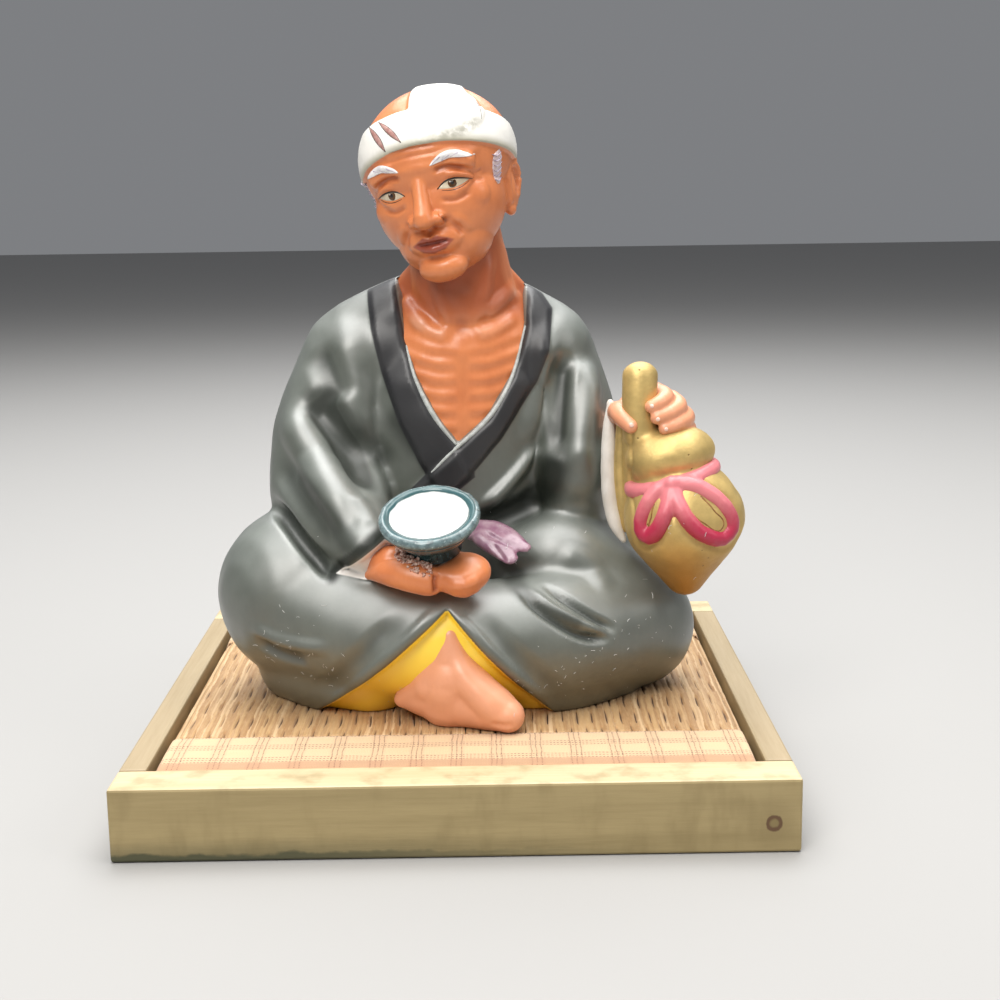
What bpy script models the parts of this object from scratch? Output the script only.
"""Painted clay figurine of an old man who sits cross-legged on a small mat stand, with a cup and a gourd."""

import math

import bmesh
import bpy
import numpy as np
from mathutils import Euler, Matrix, Vector
from mathutils.bvhtree import BVHTree

# Stand, in metres. X runs to the viewer's right, Y away from them, Z up. The origin is under its middle.
STAND_WIDTH = 0.180
STAND_DEPTH = 0.180
RAIL_HEIGHT = 0.020
FRONT_RAIL_WIDTH = 0.014
SIDE_RAIL_WIDTH = 0.0075
RAIL_EDGE_BEVEL = 0.0007
BOARD_THICKNESS = 0.006
MAT_BELOW_RIM = 0.0010
MAT_SIDE_CLEARANCE = 0.0014
MAT_END_CLEARANCE = 0.0006
MAT_EDGE_ROUND = 0.0020
BORDER_WIDTH = 0.027
BORDER_RISE = 0.0003
TOUCH_GAP = 0.0003

# Figure. It is modelled in units of a 181st of its height, seat at 0, so its pose goes with its height.
FIGURE_HEIGHT = 0.181
FIGURE_UNITS = 181.0
FIGURE_TRIANGLES = 8000
BROAD_VOXEL = 1.1
FINE_VOXEL = 0.8
JOIN_VOXEL = 0.95
BROAD_EASING = 6
FINE_EASING = 2
FRONT_FACING = 0.2
SIGHT_START = 300.0

# Cup, in metres. Its place is where the open hand carries it, in figure units.
CUP_RIM_DIAMETER = 0.0286
CUP_FOOT_DIAMETER = 0.0150
CUP_HEIGHT = 0.0120
CUP_WALL = 0.0028
CUP_FLOOR = 0.0026
CUP_RIM_BAND = 0.0036
CUP_FOOT_HEIGHT = 0.0014
CUP_EDGE_ROUND = 0.0007
CUP_CURVE_STEPS = 5
CUP_BOWL_FULLNESS = 0.45
CUP_LEAN = math.radians(23.0)
CUP_ROLL = math.radians(-4.0)
CUP_SEAT = (-7.0, -38.0, 50.0)
CUP_SIDES = 40

MERGE = 1e-6
UNIT = FIGURE_HEIGHT / FIGURE_UNITS
MAT_TOP = RAIL_HEIGHT - MAT_BELOW_RIM
SEAT_HEIGHT = MAT_TOP + BORDER_RISE + TOUCH_GAP


def clear_scene():
    for item in list(bpy.data.objects):
        bpy.data.objects.remove(item, do_unlink=True)


def finish(name, colour, roughness, metallic=0.0):
    material = bpy.data.materials.new(name)
    material.use_nodes = True
    shader = material.node_tree.nodes["Principled BSDF"]
    shader.inputs["Base Color"].default_value = (*colour, 1.0)
    shader.inputs["Roughness"].default_value = roughness
    shader.inputs["Metallic"].default_value = metallic
    material.diffuse_color = (*colour, 1.0)
    return material


def new_object(name, mesh, material=None):
    piece = bpy.data.objects.new(name, mesh)
    bpy.context.scene.collection.objects.link(piece)
    if material is not None:
        mesh.materials.append(material)
    return piece


def evaluated_mesh(piece):
    graph = bpy.context.evaluated_depsgraph_get()
    return bpy.data.meshes.new_from_object(piece.evaluated_get(graph))


# Stand


def block(name, low, high, material, bevel):
    """A rectangular bar between two corners, with its edges eased."""
    mesh = bpy.data.meshes.new(name)
    body = bmesh.new()
    bmesh.ops.create_cube(body, size=1.0)
    size = [b - a for a, b in zip(low, high)]
    bmesh.ops.scale(body, vec=size, verts=body.verts)
    body.to_mesh(mesh)
    body.free()
    piece = new_object(name, mesh, material)
    piece.location = [(a + b) / 2 for a, b in zip(low, high)]
    if bevel:
        ease = piece.modifiers.new("eased edges", "BEVEL")
        ease.width = bevel
        ease.segments = 2
    return piece


def make_stand():
    wood = finish("pale planed wood", (0.62, 0.47, 0.27), 0.55)
    half_width = STAND_WIDTH / 2
    half_depth = STAND_DEPTH / 2
    inner_y = half_depth - FRONT_RAIL_WIDTH
    inner_x = half_width - SIDE_RAIL_WIDTH
    for name, side in (("rail_front", -1), ("rail_back", 1)):
        edges = sorted((side * half_depth, side * inner_y))
        block(name, (-half_width, edges[0], 0.0), (half_width, edges[1], RAIL_HEIGHT), wood, RAIL_EDGE_BEVEL)
    side_end = inner_y - TOUCH_GAP
    for name, side in (("rail_left", -1), ("rail_right", 1)):
        edges = sorted((side * half_width, side * inner_x))
        block(name, (edges[0], -side_end, 0.0), (edges[1], side_end, RAIL_HEIGHT), wood, RAIL_EDGE_BEVEL)
    board_x = inner_x - TOUCH_GAP
    board_y = inner_y - TOUCH_GAP
    ply = finish("plain base board", (0.50, 0.38, 0.24), 0.7)
    block("base_board", (-board_x, -board_y, 0.0), (board_x, board_y, BOARD_THICKNESS), ply, 0.0)


def make_mat():
    """The rush mat and the two cloth borders that finish its ends, all soft-edged."""
    rush = finish("woven rush", (0.62, 0.46, 0.25), 0.75)
    cloth = finish("checked border cloth", (0.52, 0.36, 0.22), 0.85)
    half_x = STAND_WIDTH / 2 - SIDE_RAIL_WIDTH - MAT_SIDE_CLEARANCE
    half_y = STAND_DEPTH / 2 - FRONT_RAIL_WIDTH - MAT_END_CLEARANCE
    under = BOARD_THICKNESS + TOUCH_GAP
    rush_y = half_y - BORDER_WIDTH
    mat = block("mat", (-half_x, -rush_y, under), (half_x, rush_y, MAT_TOP), rush, 0.0)
    round_long_edges(mat, MAT_EDGE_ROUND, axis=1)
    for name, side in (("mat_border_front", -1), ("mat_border_back", 1)):
        edges = sorted((side * half_y, side * (rush_y + TOUCH_GAP)))
        top = MAT_TOP + BORDER_RISE
        border = block(name, (-half_x, edges[0], under), (half_x, edges[1], top), cloth, 0.0)
        round_long_edges(border, MAT_EDGE_ROUND, axis=1)
        crown_outer_edge(border, side)


def round_long_edges(piece, radius, axis):
    """Rounds the upper edges that run along one axis, as a padded mat's edges are."""
    body = bmesh.new()
    body.from_mesh(piece.data)
    upper = [e for e in body.edges if all(v.co.z > 0 for v in e.verts)]
    along = [e for e in upper if abs((e.verts[0].co - e.verts[1].co)[axis]) > radius]
    bmesh.ops.bevel(body, geom=along, offset=radius, segments=4, profile=0.5, affect="EDGES")
    body.to_mesh(piece.data)
    body.free()


def crown_outer_edge(piece, side):
    """Rounds the border's outer end and its seam, where the cloth is turned under."""
    body = bmesh.new()
    body.from_mesh(piece.data)
    top = max(v.co.z for v in body.verts)
    for outward, offset in ((side, MAT_EDGE_ROUND), (-side, BORDER_RISE)):
        reach = max(v.co.y * outward for v in body.verts)
        rim = [
            e
            for e in body.edges
            if all(abs(v.co.y * outward - reach) < MERGE for v in e.verts)
            and all(v.co.z > top - MAT_EDGE_ROUND - MERGE for v in e.verts)
            and (e.verts[0].co - e.verts[1].co).length > MERGE
        ]
        bmesh.ops.bevel(body, geom=rim, offset=offset, segments=3, profile=0.5, affect="EDGES")
    body.to_mesh(piece.data)
    body.free()


# Cup


def cup_outline(grow=0.0, solid=False):
    """Half section of the cup, from the foot's middle out, over the rim and in, as (radius, height)."""
    foot = CUP_FOOT_DIAMETER / 2 + grow
    rim = CUP_RIM_DIAMETER / 2 + grow
    band = CUP_HEIGHT - CUP_RIM_BAND
    shoulder = rim - CUP_EDGE_ROUND
    outer = [(0.0, -grow), (foot - CUP_EDGE_ROUND, -grow), (foot, CUP_EDGE_ROUND - grow)]
    outer.append((foot, CUP_FOOT_HEIGHT))
    for i in range(1, CUP_CURVE_STEPS + 1):
        t = i / CUP_CURVE_STEPS
        out = math.sin(t * math.pi / 2)
        outer.append((foot + (shoulder - foot) * out, CUP_FOOT_HEIGHT + (band - CUP_FOOT_HEIGHT) * t))
    outer += [(rim, band + CUP_EDGE_ROUND), (rim, CUP_HEIGHT - CUP_EDGE_ROUND), (shoulder, CUP_HEIGHT + grow)]
    if solid:
        return outer + [(0.0, CUP_HEIGHT + grow)]
    mouth = CUP_RIM_DIAMETER / 2 - CUP_WALL
    depth = CUP_HEIGHT - CUP_FLOOR
    inner = []
    for i in range(CUP_CURVE_STEPS):
        t = i / CUP_CURVE_STEPS
        inner.append((mouth * math.cos(t * math.pi / 2) ** CUP_BOWL_FULLNESS, CUP_HEIGHT - depth * t))
    return outer + inner + [(0.0, CUP_FLOOR)]


def turned(name, outline, material=None):
    """Turns a half section about Z into a closed body."""
    mesh = bpy.data.meshes.new(name)
    body = bmesh.new()
    profile = [body.verts.new((r, 0.0, z)) for r, z in outline]
    edges = [body.edges.new(pair) for pair in zip(profile, profile[1:])]
    whole = profile + edges
    bmesh.ops.spin(body, geom=whole, cent=(0, 0, 0), axis=(0, 0, 1), angle=math.tau, steps=CUP_SIDES)
    bmesh.ops.remove_doubles(body, verts=body.verts, dist=MERGE)
    bmesh.ops.recalc_face_normals(body, faces=body.faces)
    body.to_mesh(mesh)
    body.free()
    mesh.shade_smooth()
    return new_object(name, mesh, material)


def place_cup(piece):
    x, y, z = CUP_SEAT
    piece.location = (x * UNIT, y * UNIT, SEAT_HEIGHT + z * UNIT)
    piece.rotation_euler = (CUP_LEAN, CUP_ROLL, 0.0)


def make_cup():
    glaze = finish("teal glaze", (0.06, 0.14, 0.14), 0.25)
    place_cup(turned("cup", cup_outline(), glaze))


# Masses of the figure, in figure units. A mass is a closed skin, given as its points and its faces.


def ball(centre, radii, turn=(0.0, 0.0, 0.0), rings=14, sides=24):
    """An ellipsoid, turned by three angles in degrees."""
    points = [(0.0, 0.0, 1.0)]
    for i in range(1, rings):
        polar = math.pi * i / rings
        wide = math.sin(polar)
        for k in range(sides):
            around = math.tau * k / sides
            points.append((wide * math.cos(around), wide * math.sin(around), math.cos(polar)))
    points.append((0.0, 0.0, -1.0))
    shaped = np.array(points) * np.array(radii, float)
    spin = np.array(Euler([math.radians(a) for a in turn]).to_matrix())
    shaped = shaped @ spin.T + np.array(centre, float)
    last = len(points) - 1
    faces = [(0, 1 + k, 1 + (k + 1) % sides) for k in range(sides)]
    for i in range(rings - 2):
        a, b = 1 + i * sides, 1 + (i + 1) * sides
        faces += [(a + k, b + k, b + (k + 1) % sides, a + (k + 1) % sides) for k in range(sides)]
    tail = 1 + (rings - 2) * sides
    faces += [(tail + k, last, tail + (k + 1) % sides) for k in range(sides)]
    return shaped, faces


def smooth_path(points, step=1.5):
    """Points at even steps on a Catmull-Rom curve through the given ones."""
    p = np.array(points, float)
    ends = np.vstack([2 * p[0] - p[1], p, 2 * p[-1] - p[-2]])
    path = []
    for i in range(1, len(ends) - 2):
        a, b, c, d = ends[i - 1 : i + 3]
        count = max(2, int(np.linalg.norm((c - b)[:3]) / step))
        bend = 2 * a - 5 * b + 4 * c - d
        twist = 3 * b - a - 3 * c + d
        for t in np.linspace(0.0, 1.0, count, endpoint=False):
            path.append(0.5 * (2 * b + (c - a) * t + bend * t**2 + twist * t**3))
    path.append(p[-1])
    return np.array(path)


def limb(points, radii, flat=1.0, up=(0.0, 0.0, 1.0), sides=20):
    """A round-ended limb along a curve; its section is a circle, or an ellipse thinned by flat along up."""
    route = smooth_path([(*p, r) for p, r in zip(points, radii)])
    middle, radius = route[:, :3], route[:, 3]
    along = np.gradient(middle, axis=0)
    along /= np.linalg.norm(along, axis=1)[:, None]
    up = np.array(up, float)
    cap = [(1.0 - math.cos(a), math.sin(a)) for a in np.linspace(0.0, math.pi / 2, 6)[1:-1]]
    rings = []
    for reach, share in cap:
        rings.append((middle[0] - along[0] * radius[0] * (1.0 - reach), along[0], radius[0] * share))
    rings += [(m, a, r) for m, a, r in zip(middle, along, radius)]
    for reach, share in reversed(cap):
        rings.append((middle[-1] + along[-1] * radius[-1] * (1.0 - reach), along[-1], radius[-1] * share))
    verts = [middle[0] - along[0] * radius[0]]
    angles = np.linspace(0.0, math.tau, sides, endpoint=False)
    for centre, direction, r in rings:
        across = np.cross(direction, up)
        across /= np.linalg.norm(across)
        over = np.cross(across, direction)
        verts += [centre + across * r * math.cos(a) + over * r * flat * math.sin(a) for a in angles]
    verts.append(middle[-1] + along[-1] * radius[-1])
    last = len(verts) - 1
    faces = [(0, 1 + (k + 1) % sides, 1 + k) for k in range(sides)]
    for i in range(len(rings) - 1):
        a, b = 1 + i * sides, 1 + (i + 1) * sides
        faces += [(a + k, a + (k + 1) % sides, b + (k + 1) % sides, b + k) for k in range(sides)]
    tail = 1 + (len(rings) - 1) * sides
    faces += [(tail + k, tail + (k + 1) % sides, last) for k in range(sides)]
    return np.array(verts), faces


def mirrored(mass):
    points, faces = mass
    return points * np.array([-1.0, 1.0, 1.0]), [tuple(reversed(f)) for f in faces]


def posed(masses, turn, centre):
    """Turns masses by three angles in degrees about their own origin and carries them to a centre."""
    spin = np.array(Euler([math.radians(a) for a in turn], "YXZ").to_matrix())
    return [(points @ spin.T + np.array(centre, float), faces) for points, faces in masses]


class Clay:
    """A closed skin that can be remeshed, smoothed and worked with strokes, as clay is under a tool."""

    def __init__(self, name, masses, voxel, smoothing):
        mesh = bpy.data.meshes.new(name)
        verts = []
        faces = []
        for points, polygons in masses:
            base = len(verts)
            verts.extend(points)
            faces.extend([[base + i for i in polygon] for polygon in polygons])
        mesh.from_pydata(verts, [], faces)
        self.piece = new_object(name, mesh)
        self.remesh(voxel, smoothing)

    def remesh(self, voxel, smoothing):
        skin = self.piece.modifiers.new("skin", "REMESH")
        skin.mode = "VOXEL"
        skin.voxel_size = voxel
        if smoothing:
            ease = self.piece.modifiers.new("ease", "SMOOTH")
            ease.factor = 0.5
            ease.iterations = round(smoothing)
        mesh = evaluated_mesh(self.piece)
        self.piece.modifiers.clear()
        self.piece.data = mesh
        self.read()

    def read(self):
        mesh = self.piece.data
        self.points = np.empty(len(mesh.vertices) * 3)
        mesh.vertices.foreach_get("co", self.points)
        self.points = self.points.reshape(-1, 3)
        self.normals = np.empty(len(mesh.vertices) * 3)
        mesh.vertex_normals.foreach_get("vector", self.normals)
        self.normals = self.normals.reshape(-1, 3)

    def write(self):
        self.piece.data.vertices.foreach_set("co", self.points.ravel())
        self.piece.data.update()
        self.read()

    def keep_largest(self):
        """Drops sealed pockets and crumbs, so that one closed skin is left."""
        body = bmesh.new()
        body.from_mesh(self.piece.data)
        waiting = set(body.verts)
        islands = []
        while waiting:
            island = {waiting.pop()}
            edge = set(island)
            while edge:
                edge = {e.other_vert(v) for v in edge for e in v.link_edges} - island
                island |= edge
            waiting -= island
            islands.append(island)
        islands.sort(key=len)
        for island in islands[:-1]:
            bmesh.ops.delete(body, geom=list(island), context="VERTS")
        body.to_mesh(self.piece.data)
        body.free()
        self.read()

    def on_surface(self, drawn, behind=False):
        """Lays a line drawn as (x, z) from the front, or from behind, onto the skin."""
        graph = bpy.context.evaluated_depsgraph_get()
        tree = BVHTree.FromObject(self.piece, graph)
        side = 1.0 if behind else -1.0
        laid = []
        for x, z in smooth_path(drawn):
            hit = tree.ray_cast(Vector((x, side * SIGHT_START, z)), Vector((0.0, -side, 0.0)))[0]
            if hit is not None:
                laid.append(hit)
        return np.array(laid)

    def stroke(self, drawn, width, lift, behind=False, fade=0.25):
        """Raises a soft ridge along a drawn line, or presses a groove where lift is negative."""
        line = self.on_surface(drawn, behind) if len(drawn[0]) == 2 else smooth_path(drawn)
        if len(line) < 2:
            return
        around = (self.points > line.min(0) - width) & (self.points < line.max(0) + width)
        near = np.where(np.all(around, axis=1))[0]
        away, t = distance_along(self.points[near], line)
        ends = np.clip(np.minimum(t, 1.0 - t) / fade, 0.0, 1.0)
        ends = ends * ends * (3.0 - 2.0 * ends)
        fall = np.clip(1.0 - (away / width) ** 2, 0.0, 1.0) ** 2
        self.points[near] += self.normals[near] * (lift * fall * ends)[:, None]
        self.write()

    def recess(self, outline, depth, edge, limit):
        """Pushes the front inside a drawn (x, z) outline back, or brings it forward, up to a limit in Y."""
        share = np.clip(inside(outline, self.points[:, [0, 2]]) / edge, 0.0, 1.0)
        share = share * share * (3.0 - 2.0 * share)
        facing = (self.normals[:, 1] < FRONT_FACING) & (self.points[:, 1] < limit)
        self.points[:, 1] += np.where(facing, depth * share, 0.0)
        self.write()


def distance_along(places, line):
    """How far each place is from a line of short runs, and where along it, 0 to 1, its nearest point lies."""
    nearest = np.full(len(places), 1e9)
    share = np.zeros(len(places))
    for i, (a, b) in enumerate(zip(line[:-1], line[1:])):
        run = b - a
        t = np.clip((places - a) @ run / max(run @ run, 1e-12), 0.0, 1.0)
        away = np.linalg.norm(places - a - t[:, None] * run, axis=1)
        closer = away < nearest
        nearest = np.where(closer, away, nearest)
        share = np.where(closer, (i + t) / (len(line) - 1), share)
    return nearest, share


def inside(outline, places):
    """Signed distance of flat places to a closed outline, positive within it."""
    ring = np.array(outline, float)
    after = np.roll(ring, -1, axis=0)
    nearest = np.full(len(places), 1e9)
    odd = np.zeros(len(places), bool)
    for a, b in zip(ring, after):
        edge = b - a
        t = np.clip(((places - a) @ edge) / (edge @ edge), 0.0, 1.0)
        nearest = np.minimum(nearest, np.linalg.norm(places - a - t[:, None] * edge, axis=1))
        crosses = (a[1] > places[:, 1]) != (b[1] > places[:, 1])
        if a[1] != b[1]:
            odd ^= crosses & (places[:, 0] < (b[0] - a[0]) * (places[:, 1] - a[1]) / (b[1] - a[1]) + a[0])
    return np.where(odd, nearest, -nearest)


# Lines of the dress, drawn from the front as (x, z)

CROSSING = (0.7, 75.3)
LEFT_NECK_EDGE = [(-18.5, 128), (-14.5, 106), (-11.8, 95.6), (-5.9, 83.9), CROSSING]
RIGHT_NECK_EDGE = [(22.7, 126), (21.7, 111), (17.4, 95.6), (10.1, 83.6), CROSSING]
NECK_OPENING = LEFT_NECK_EDGE + RIGHT_NECK_EDGE[-2::-1]
LEFT_COLLAR = LEFT_NECK_EDGE + [(6, 66), (-4, 58), (-11, 70), (-17, 82), (-22, 97), (-25, 110), (-27, 124)]
RIGHT_COLLAR = RIGHT_NECK_EDGE + [(-8, 68), (-14, 62), (-6, 56), (4.1, 65.7), (13.9, 77.1), (19.7, 86)]
RIGHT_COLLAR += [(24.9, 93.7), (28.5, 102.7), (30, 115)]
HEM_OPENING = [(-42, -6), (-39.5, 0), (-20.6, 18.4), (-2.5, 35.1), (12.2, 17.9), (28.2, 0), (31, -6)]
CUFF_OPENING = [(-34.5, 42), (-20, 54.5), (-14, 50), (-16, 42), (-26, 41)]

# Folds, each a line with its width and its rise; a groove has a negative rise

FRONT_FOLDS = [
    ([(-46, 91), (-38, 82), (-29, 71), (-24, 62)], 6.0, -4.2),
    ([(-52, 84), (-44, 75), (-35, 66), (-29, 58)], 6.0, 2.6),
    ([(-55, 73), (-47, 65), (-38, 56), (-33, 50)], 5.0, -1.6),
    ([(-42, 104), (-37, 94), (-33, 86)], 5.0, -1.8),
    ([(-36, 112), (-30, 98), (-28, 84), (-24, 74)], 5.5, 1.4),
    ([(-57, 59), (-50, 55), (-42, 47), (-35, 40)], 3.4, -3.0),
    ([(-62, 27), (-55, 23.5), (-45, 22), (-35, 22.5)], 3.4, 1.0),
    ([(-60, 22), (-52, 18.5), (-42, 17.5)], 3.6, -1.2),
    ([(-40, 1), (-31, 9.5), (-21, 20), (-11, 29.5), (-3, 37)], 2.6, 1.3),
    ([(-44, 4), (-34, 14), (-24, 25), (-14, 34)], 4.2, -1.0),
    ([(-3, 37), (5, 28.5), (13, 19.5), (21, 10.5), (29, 1)], 2.6, 1.3),
    ([(6, 34), (14, 25), (23, 15), (32, 5)], 4.2, -0.9),
    ([(13, 42), (20, 35.5), (27, 30), (36, 24.5), (46, 22)], 2.4, -2.2),
    ([(20, 41), (30, 35), (39, 29), (47, 23.5)], 2.4, -1.8),
    ([(16, 42), (25, 34.5), (34, 29), (45, 23)], 2.2, 1.0),
    ([(28, 46), (38, 41), (47, 33)], 4.0, 1.4),
    ([(6, 48), (16, 50.5), (27, 53), (40, 50)], 4.5, -3.8),
    ([(34, 112), (31, 100), (27, 88), (23, 77)], 4.5, 1.8),
    ([(37, 104), (33, 92), (30, 80), (28, 68)], 4.0, -1.8),
    ([(40, 100), (38.5, 90), (36, 78), (36, 64)], 4.2, 1.6),
    ([(23, 72), (16, 66), (9, 60)], 4.0, 2.0),
    ([(27, 64), (18, 58), (10, 54)], 4.0, -1.6),
]
BACK_FOLDS = [
    ([(-28, 102), (-16, 92), (-9, 80), (-7, 70)], 4.5, -1.2),
    ([(26, 102), (17, 92), (11, 80), (9, 70)], 4.5, -1.2),
    ([(-20, 70), (-18, 78), (-14, 86)], 3.5, 0.8),
    ([(19, 70), (18, 78), (16, 86)], 3.5, 0.8),
    ([(-20, 54), (-25, 38), (-33, 22), (-40, 8)], 4.5, -1.6),
    ([(-6, 54), (-8, 36), (-14, 16)], 4.5, -1.1),
    ([(10, 54), (12, 38), (17, 20), (20, 8)], 4.5, -1.3),
    ([(24, 54), (30, 40), (38, 26), (46, 14)], 4.5, -1.6),
    ([(-40, 88), (-37, 72), (-33, 60)], 4.5, -2.0),
    ([(39, 88), (36, 72), (32, 60)], 4.5, -2.0),
]


TRUNK = [(0, 16, 84), (0, 16.5, 62), (0, 18.5, 38), (0, 19, 14)]
TRUNK_HALF_WIDTHS = [34.5, 34.5, 40, 48]


def robe_masses():
    trunk = [
        limb(TRUNK, TRUNK_HALF_WIDTHS, flat=0.7, up=(0, 1, 0)),
        limb([(-28, 17, 100), (0, 19, 104), (26, 17, 100)], [18, 19, 17.5]),
        limb([(-13, 15, 112.5), (-29, 17, 104)], [13.5, 14.5]),
        limb([(17, 15, 110), (27, 17, 103.5)], [13.5, 14]),
        limb([(-15, 22, 119), (0, 29, 120), (18, 22, 117)], [6, 6.5, 6]),
    ]
    right_sleeve = [
        limb([(-30.5, 17, 99), (-37.5, 12, 78), (-39, 6, 62)], [17.5, 19, 19]),
        limb([(-39, 5, 61), (-34, -12, 57), (-25, -30, 49.5)], [19, 15, 8.5]),
    ]
    left_sleeve = [
        limb([(28, 18, 98), (36, 14, 80), (39, 6, 62)], [16.5, 14, 12]),
        limb([(38, 2, 78), (39, -1, 62), (39, 0, 48)], [9, 11, 12]),
    ]
    legs = [
        limb([(-16, 22, 24), (-32, 8, 28), (-47, -5, 31)], [25, 26.5, 26.5]),
        limb([(-47, -6, 29), (-26, -20, 22), (-4, -29, 21)], [25.5, 21, 19]),
        limb([(-49, -7, 9), (-38, -18, 9), (-26, -24, 9)], [13, 13, 13]),
        ball((0, 18, 1), (54, 38, 13)),
        limb([(16, 22, 24), (32, 9, 27), (43, -3, 22)], [26, 27.5, 23]),
        ball((52.5, -3, 18.5), (20, 20, 20)),
        limb([(48, -5, 20), (28, -20, 19), (5, -29, 20)], [21, 20, 18]),
        limb([(45, -8, 9), (32, -19, 9), (22, -24, 9)], [14, 14, 13]),
    ]
    return trunk + right_sleeve + left_sleeve + legs


# What is pushed in or brought forward: depth, softness of its edge, and the Y behind which nothing moves

RECESSES = [
    (NECK_OPENING, 7.0, 2.2, 12.0),
    (LEFT_COLLAR, -1.0, 1.6, 12.0),
    (RIGHT_COLLAR, -1.3, 1.6, 12.0),
    (HEM_OPENING, 4.0, 2.0, -5.0),
    (CUFF_OPENING, 3.0, 1.8, -10.0),
]


def model_robe():
    robe = Clay("robe", robe_masses(), BROAD_VOXEL, BROAD_EASING)
    for outline, depth, edge, limit in RECESSES:
        robe.recess(outline, depth, edge, limit)
    for line, width, rise in FRONT_FOLDS:
        robe.stroke(line, width, rise)
    for line, width, rise in BACK_FOLDS:
        robe.stroke(line, width, rise, behind=True)
    return robe


WAIST_SASH = [(-34, 12, 58), (-26.5, 31, 60.5), (-12, 38.8, 62), (0, 40.4, 62), (12, 38.8, 62)]
WAIST_SASH += [(26.5, 31, 60.5), (34, 12, 58)]
SASH_THICKNESS = 1.9
SASH_HEIGHT = 10.4


def sash_masses():
    """The tied end of the sash at the front, and the band round the back of the waist."""
    half = SASH_THICKNESS
    return [
        limb(WAIST_SASH, [half] * len(WAIST_SASH), flat=SASH_HEIGHT / 2 / half),
        ball((10.5, -23, 51), (8, 5, 4), (0, 14, 0)),
        ball((17, -24, 49.5), (6, 5, 4)),
        limb([(12, -26, 49), (14, -29, 44)], [3.6, 1.6]),
    ]


RIBS = 6
RIB_SPACING = 4.6
TOP_RIB = 105.0


def model_torso():
    torso = Clay(
        "torso",
        [
            limb([(1, 9, 138), (3, 13, 116)], [13.5, 17]),
            limb([(-1, 12, 136), (2, 16, 116)], [12, 15]),
            ball((2.5, 14, 98), (27, 19, 30)),
        ],
        BROAD_VOXEL,
        FINE_EASING,
    )
    for side in (-1, 1):
        torso.stroke([(2.5 + side * 3, 106.5), (2.5 + side * 9, 108.5), (2.5 + side * 16, 113)], 3.2, 1.6)
    torso.stroke([(2.5, 112), (2.5, 106)], 4.0, -1.4)
    for i in range(RIBS):
        z = TOP_RIB - (i + 0.5) * RIB_SPACING
        torso.stroke([(-15, z + 1.6), (2.5, z), (20, z + 1.6)], 2.3, -0.8)
    return torso


def foot_masses():
    return [
        limb([(-2.5, -33, 31), (-3, -34.5, 20), (-4, -33, 9)], [5, 9.5, 13.5]),
        limb([(-11, -30, 7), (1, -37.5, 8.5), (9.5, -44, 6.8), (15, -48.5, 4)], [10, 11.5, 8, 4.6]),
    ]


SLEEVE_LIP = [(46.5, 1, 89), (45, -4, 77), (43.3, -7, 60), (45, -9, 47), (50, -10, 40)]


def sleeve_lip_masses():
    """The pale lining that rolls out along the raised sleeve's mouth."""
    return [limb(SLEEVE_LIP, [1.6, 3.4, 4.0, 3.4, 1.6])]


# Head, in its own frame: face to -Y, eye line at 0, chin and crown a half head below and above

HEAD_CENTRE = (-3.0, 6.0, 152.0)
HEAD_TURN = (8.0, -11.0, -15.0)
SKULL_CENTRE = (0.0, 2.0, 7.0)
SKULL_RADII = (22.5, 25.0, 22.0)


def face_masses():
    side_masses = [
        ball((12, -12.5, -5), (7, 6, 7)),
        ball((9.2, -15.0, 0.3), (5.2, 4.6, 4.4)),
        ball((3.3, -23.0, -9.0), (2.4, 2.6, 2.1)),
        limb([(20.5, 1, -9), (22.3, 3.5, -2), (22.6, 5.5, 4), (21.2, 4, 7.5)], [2.3, 2.3, 2.4, 2.2]),
        limb([(19.5, 2, -8), (20, 4.5, 4)], [3.0, 4.2]),
    ]
    centre_masses = [
        ball(SKULL_CENTRE, SKULL_RADII),
        ball((0, -5, -6), (19.5, 17.5, 20)),
        ball((0, -8.5, -17), (14.5, 12.5, 12)),
        limb([(-13, -16, 5.6), (0, -19.5, 6.6), (13, -16, 5.6)], [3.6, 3.8, 3.6]),
        limb([(0, -20, 5), (0, -23.2, -3), (0, -25.5, -8)], [2.6, 2.7, 3.2]),
        ball((0, -17.5, -16), (9, 5.6, 6)),
        limb([(-6.4, -20.4, -15.6), (0, -23.0, -14.8), (6.4, -20.4, -15.6)], [1.0, 1.6, 1.0]),
        limb([(-5.4, -20.2, -17.4), (0, -22.6, -18.0), (5.4, -20.2, -17.4)], [1.1, 1.7, 1.1]),
        ball((0, -17.3, -25), (7.5, 5.8, 4.8)),
    ]
    return centre_masses + side_masses + [mirrored(m) for m in side_masses]


BAND_MIDDLE = 9.0
BAND_SLOPE = -0.38
BAND_HEIGHT = 10.0
BAND_WIDENING = 0.3
BAND_THICKNESS = 1.6


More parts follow.
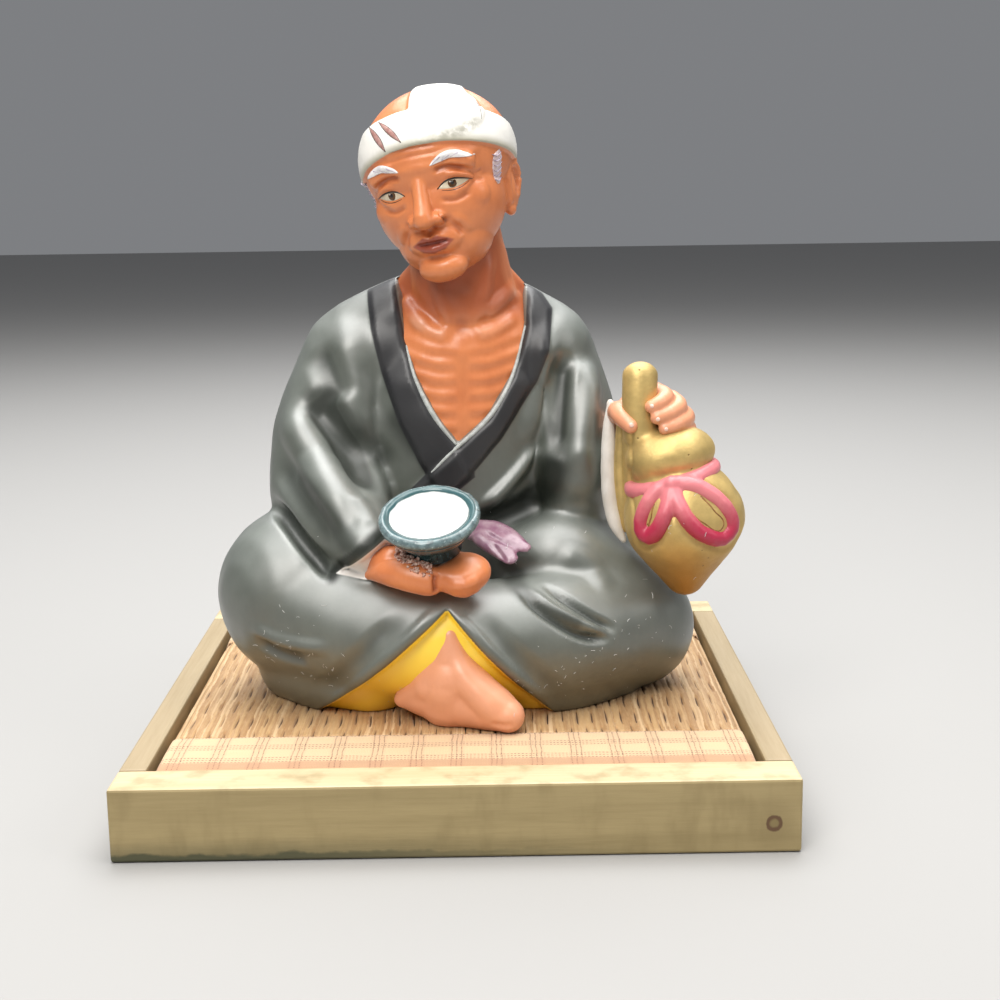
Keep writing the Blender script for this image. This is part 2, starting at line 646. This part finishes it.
def band_mass(sides=64, rows=9):
    """A folded cloth band that hugs the skull, higher over the brow than at the nape."""
    loops = []
    for row in range(rows * 2):
        outer = row < rows
        v = row / (rows - 1) if outer else (2 * rows - 1 - row) / (rows - 1)
        swell = BAND_THICKNESS * math.sin(math.pi * min(max(v, 0.08), 0.92)) ** 0.4 if outer else -2.0
        loop = []
        for k in range(sides):
            around = math.tau * k / sides
            y = SKULL_RADII[1] * math.sin(around)
            height = BAND_HEIGHT * (1.0 + BAND_WIDENING * (1.0 + math.sin(around)))
            z = BAND_MIDDLE + BAND_SLOPE * y + (v - 0.5) * height
            waist = math.sqrt(max(0.05, 1.0 - ((z - SKULL_CENTRE[2]) / (SKULL_RADII[2] + 1.0)) ** 2))
            loop.append(
                (
                    (SKULL_RADII[0] * waist + swell) * math.cos(around),
                    SKULL_CENTRE[1] + (SKULL_RADII[1] * waist + swell) * math.sin(around),
                    z,
                )
            )
        loops.append(loop)
    points = np.array([p for loop in loops for p in loop])
    faces = []
    count = len(loops)
    for i in range(count):
        a, b = i * sides, ((i + 1) % count) * sides
        faces += [(a + k, a + (k + 1) % sides, b + (k + 1) % sides, b + k) for k in range(sides)]
    return points, faces


def headband_masses():
    return [
        band_mass(),
        ball((8.5, -9.5, 20), (11.5, 11, 8.4), (0, 8, -12)),
        ball((12.5, -12, 15.5), (7, 8, 6)),
    ]


def model_head():
    head = Clay("head", face_masses(), FINE_VOXEL, FINE_EASING)
    head.stroke([(-5, 3.5), (-9.5, 3.9), (-14.5, 2.0)], 1.6, -1.3)
    head.stroke([(5, 3.5), (9.5, 3.9), (14.5, 2.0)], 1.6, -1.3)
    head.stroke([(-5.2, -3.6), (-9.5, -4.4), (-14, -2.8)], 1.5, -0.8)
    head.stroke([(5.2, -3.6), (9.5, -4.4), (14, -2.8)], 1.5, -0.8)
    head.stroke([(-6.2, -16.4), (0, -16.3), (6.2, -16.4)], 1.1, -1.2)
    head.piece.data.transform(head_pose())
    head.read()
    return head


# Hands and what they hold


def open_hand_masses():
    return [
        limb([(-30, -24, 48), (-20, -34, 45)], [5.5, 6]),
        ball((-13, -37, 44), (12, 9, 5), (12, 0, 0)),
        ball((0, -38, 44), (8, 7.5, 4.6), (12, 0, 0)),
        limb([(-22, -40, 45), (-14, -44.5, 43.5), (-6.5, -46, 42.5)], [4.4, 4.6, 4.0]),
        limb([(-3, -45.5, 42.8), (3, -46, 42.8), (7, -44.5, 44.2)], [3.9, 3.7, 3.2]),
        limb([(-2, -41, 46), (5, -41.5, 47.2), (8, -40, 47.8)], [3.8, 3.4, 3.0]),
    ]


FINGERS = [
    [(62, -8, 95), (63.5, -15, 93.6), (60.5, -20.5, 91), (57.3, -21.5, 89.3)],
    [(67, -8, 91.5), (68, -15, 90), (63.5, -21, 88.2), (59, -22.3, 86.2)],
    [(70, -8, 87.5), (70.6, -14, 86), (66.5, -20.5, 84.8), (61.3, -22.3, 82.8)],
    [(71, -7, 83), (71.2, -12.5, 82), (69, -18, 82), (65, -20.5, 82)],
]


def closed_hand_masses():
    """The hand behind the gourd's neck, its four fingers round from the right and its thumb from the left."""
    fingers = [limb(route, [3.2, 3.1, 2.7, 2.2]) for route in FINGERS]
    return fingers + [
        ball((60, -5, 87), (11, 7.5, 9)),
        limb([(50, -2, 85), (48.5, -11, 88), (49.5, -17, 86), (51.5, -20.5, 83.3)], [5, 3.6, 3.1, 2.5]),
        limb([(43, 5, 72), (52, 0, 80), (60, -4, 86)], [8, 8, 8]),
    ]


def gourd_masses():
    return [
        limb([(54.4, -15, 96.6), (54.2, -16, 90), (54.6, -16.5, 80)], [4.6, 4.9, 4.6]),
        ball((63.2, -17, 73.4), (13.3, 12, 8.3), (0, -10, 0)),
        ball((59, -17, 74), (8, 10, 7.5)),
        ball((68.6, -18.5, 51.5), (18.3, 17, 16.5), (0, -14, 0)),
        limb([(68.6, -18.5, 50), (69.4, -18.5, 40)], [17.2, 9.5]),
    ]


CORD_RADIUS = 1.7
CORD_SUNK = 0.5
WAIST_CENTRE = (63.9, -17.0, 66.4)
WAIST_RADII = (12.9, 12.2)
WAIST_TILT = math.radians(16.0)
BOW_KNOT = (60.8, 66.6)
BOW_LOOPS = [
    [BOW_KNOT, (55.5, 64.2), (51.9, 57), (52.6, 51.8), (56.2, 53.2), (59.2, 60), BOW_KNOT],
    [BOW_KNOT, (68, 66.2), (76, 61), (79.4, 55), (76.4, 51.2), (69, 54), (63, 61), BOW_KNOT],
]


def cord_masses(gourd):
    """The moulded cord: a ring round the waist and a bow that lies on the lower bulb."""
    around = np.linspace(0.0, math.tau, 25)
    ring = []
    for a in around:
        across = WAIST_RADII[0] * math.cos(a)
        ring.append(
            (
                WAIST_CENTRE[0] + across * math.cos(WAIST_TILT),
                WAIST_CENTRE[1] + WAIST_RADII[1] * math.sin(a),
                WAIST_CENTRE[2] + across * math.sin(WAIST_TILT),
            )
        )
    masses = [limb(ring, [CORD_RADIUS] * len(ring), sides=12)]
    for drawn in BOW_LOOPS:
        laid = gourd.on_surface(drawn)[::3] + np.array([0.0, CORD_SUNK, 0.0])
        masses.append(limb(laid, [CORD_RADIUS] * len(laid), up=(0.0, 1.0, 0.0), sides=12))
    knot = gourd.on_surface([BOW_KNOT, BOW_KNOT])[0]
    return masses + [ball(knot, (2.8, 2.4, 2.6))]


def head_pose():
    turn = Euler([math.radians(a) for a in HEAD_TURN], "YXZ").to_matrix().to_4x4()
    return Matrix.Translation(Vector(HEAD_CENTRE)) @ turn


def cut_with(piece, cutter):
    """Cuts a hidden cutter out of a piece and applies the cut."""
    cutter.hide_render = True
    cutter.display_type = "WIRE"
    cut = piece.modifiers.new("cut", "BOOLEAN")
    cut.operation = "DIFFERENCE"
    cut.solver = "EXACT"
    cut.object = cutter
    mesh = evaluated_mesh(piece)
    piece.modifiers.clear()
    piece.data = mesh
    bpy.data.objects.remove(cutter, do_unlink=True)


def make_figure():
    """Joins the clay into one casting, thins its faces, flattens its seat and cuts the place for the cup."""
    gourd = Clay("gourd", gourd_masses(), BROAD_VOXEL, FINE_EASING)
    parts = [
        model_robe(),
        model_torso(),
        model_head(),
        gourd,
        Clay("foot", foot_masses(), BROAD_VOXEL, BROAD_EASING),
        Clay("sleeve lip", sleeve_lip_masses(), FINE_VOXEL, FINE_EASING),
        Clay("headband", posed(headband_masses(), HEAD_TURN, HEAD_CENTRE), FINE_VOXEL, FINE_EASING),
        Clay("open hand", open_hand_masses(), FINE_VOXEL, FINE_EASING),
        Clay("closed hand", closed_hand_masses(), FINE_VOXEL, FINE_EASING),
        Clay("sash", sash_masses(), FINE_VOXEL, FINE_EASING),
        Clay("cord", cord_masses(gourd), FINE_VOXEL, FINE_EASING),
    ]
    masses = []
    for part in parts:
        faces = [tuple(face.vertices) for face in part.piece.data.polygons]
        masses.append((part.points, faces))
        bpy.data.objects.remove(part.piece, do_unlink=True)
    figure = Clay("figure", masses, JOIN_VOXEL, 1)
    figure.keep_largest()
    body = figure.piece
    body.data.transform(Matrix.Translation((0.0, 0.0, SEAT_HEIGHT)) @ Matrix.Scale(UNIT, 4))
    thin = body.modifiers.new("fewer faces", "DECIMATE")
    thin.ratio = FIGURE_TRIANGLES / (2 * len(body.data.polygons))
    thin.use_collapse_triangulate = True
    mesh = evaluated_mesh(body)
    body.modifiers.clear()
    body.data = mesh
    reach = FIGURE_HEIGHT
    low = (-reach, -reach, SEAT_HEIGHT - reach)
    cut_with(body, block("seat cutter", low, (reach, reach, SEAT_HEIGHT), None, 0.0))
    grown_cup = turned("cup cutter", cup_outline(TOUCH_GAP, solid=True))
    place_cup(grown_cup)
    cut_with(body, grown_cup)
    body.data.materials.clear()
    body.data.materials.append(finish("painted clay", (0.09, 0.11, 0.09), 0.35))
    body.data.shade_smooth()


def main():
    clear_scene()
    make_stand()
    make_mat()
    make_cup()
    make_figure()


main()
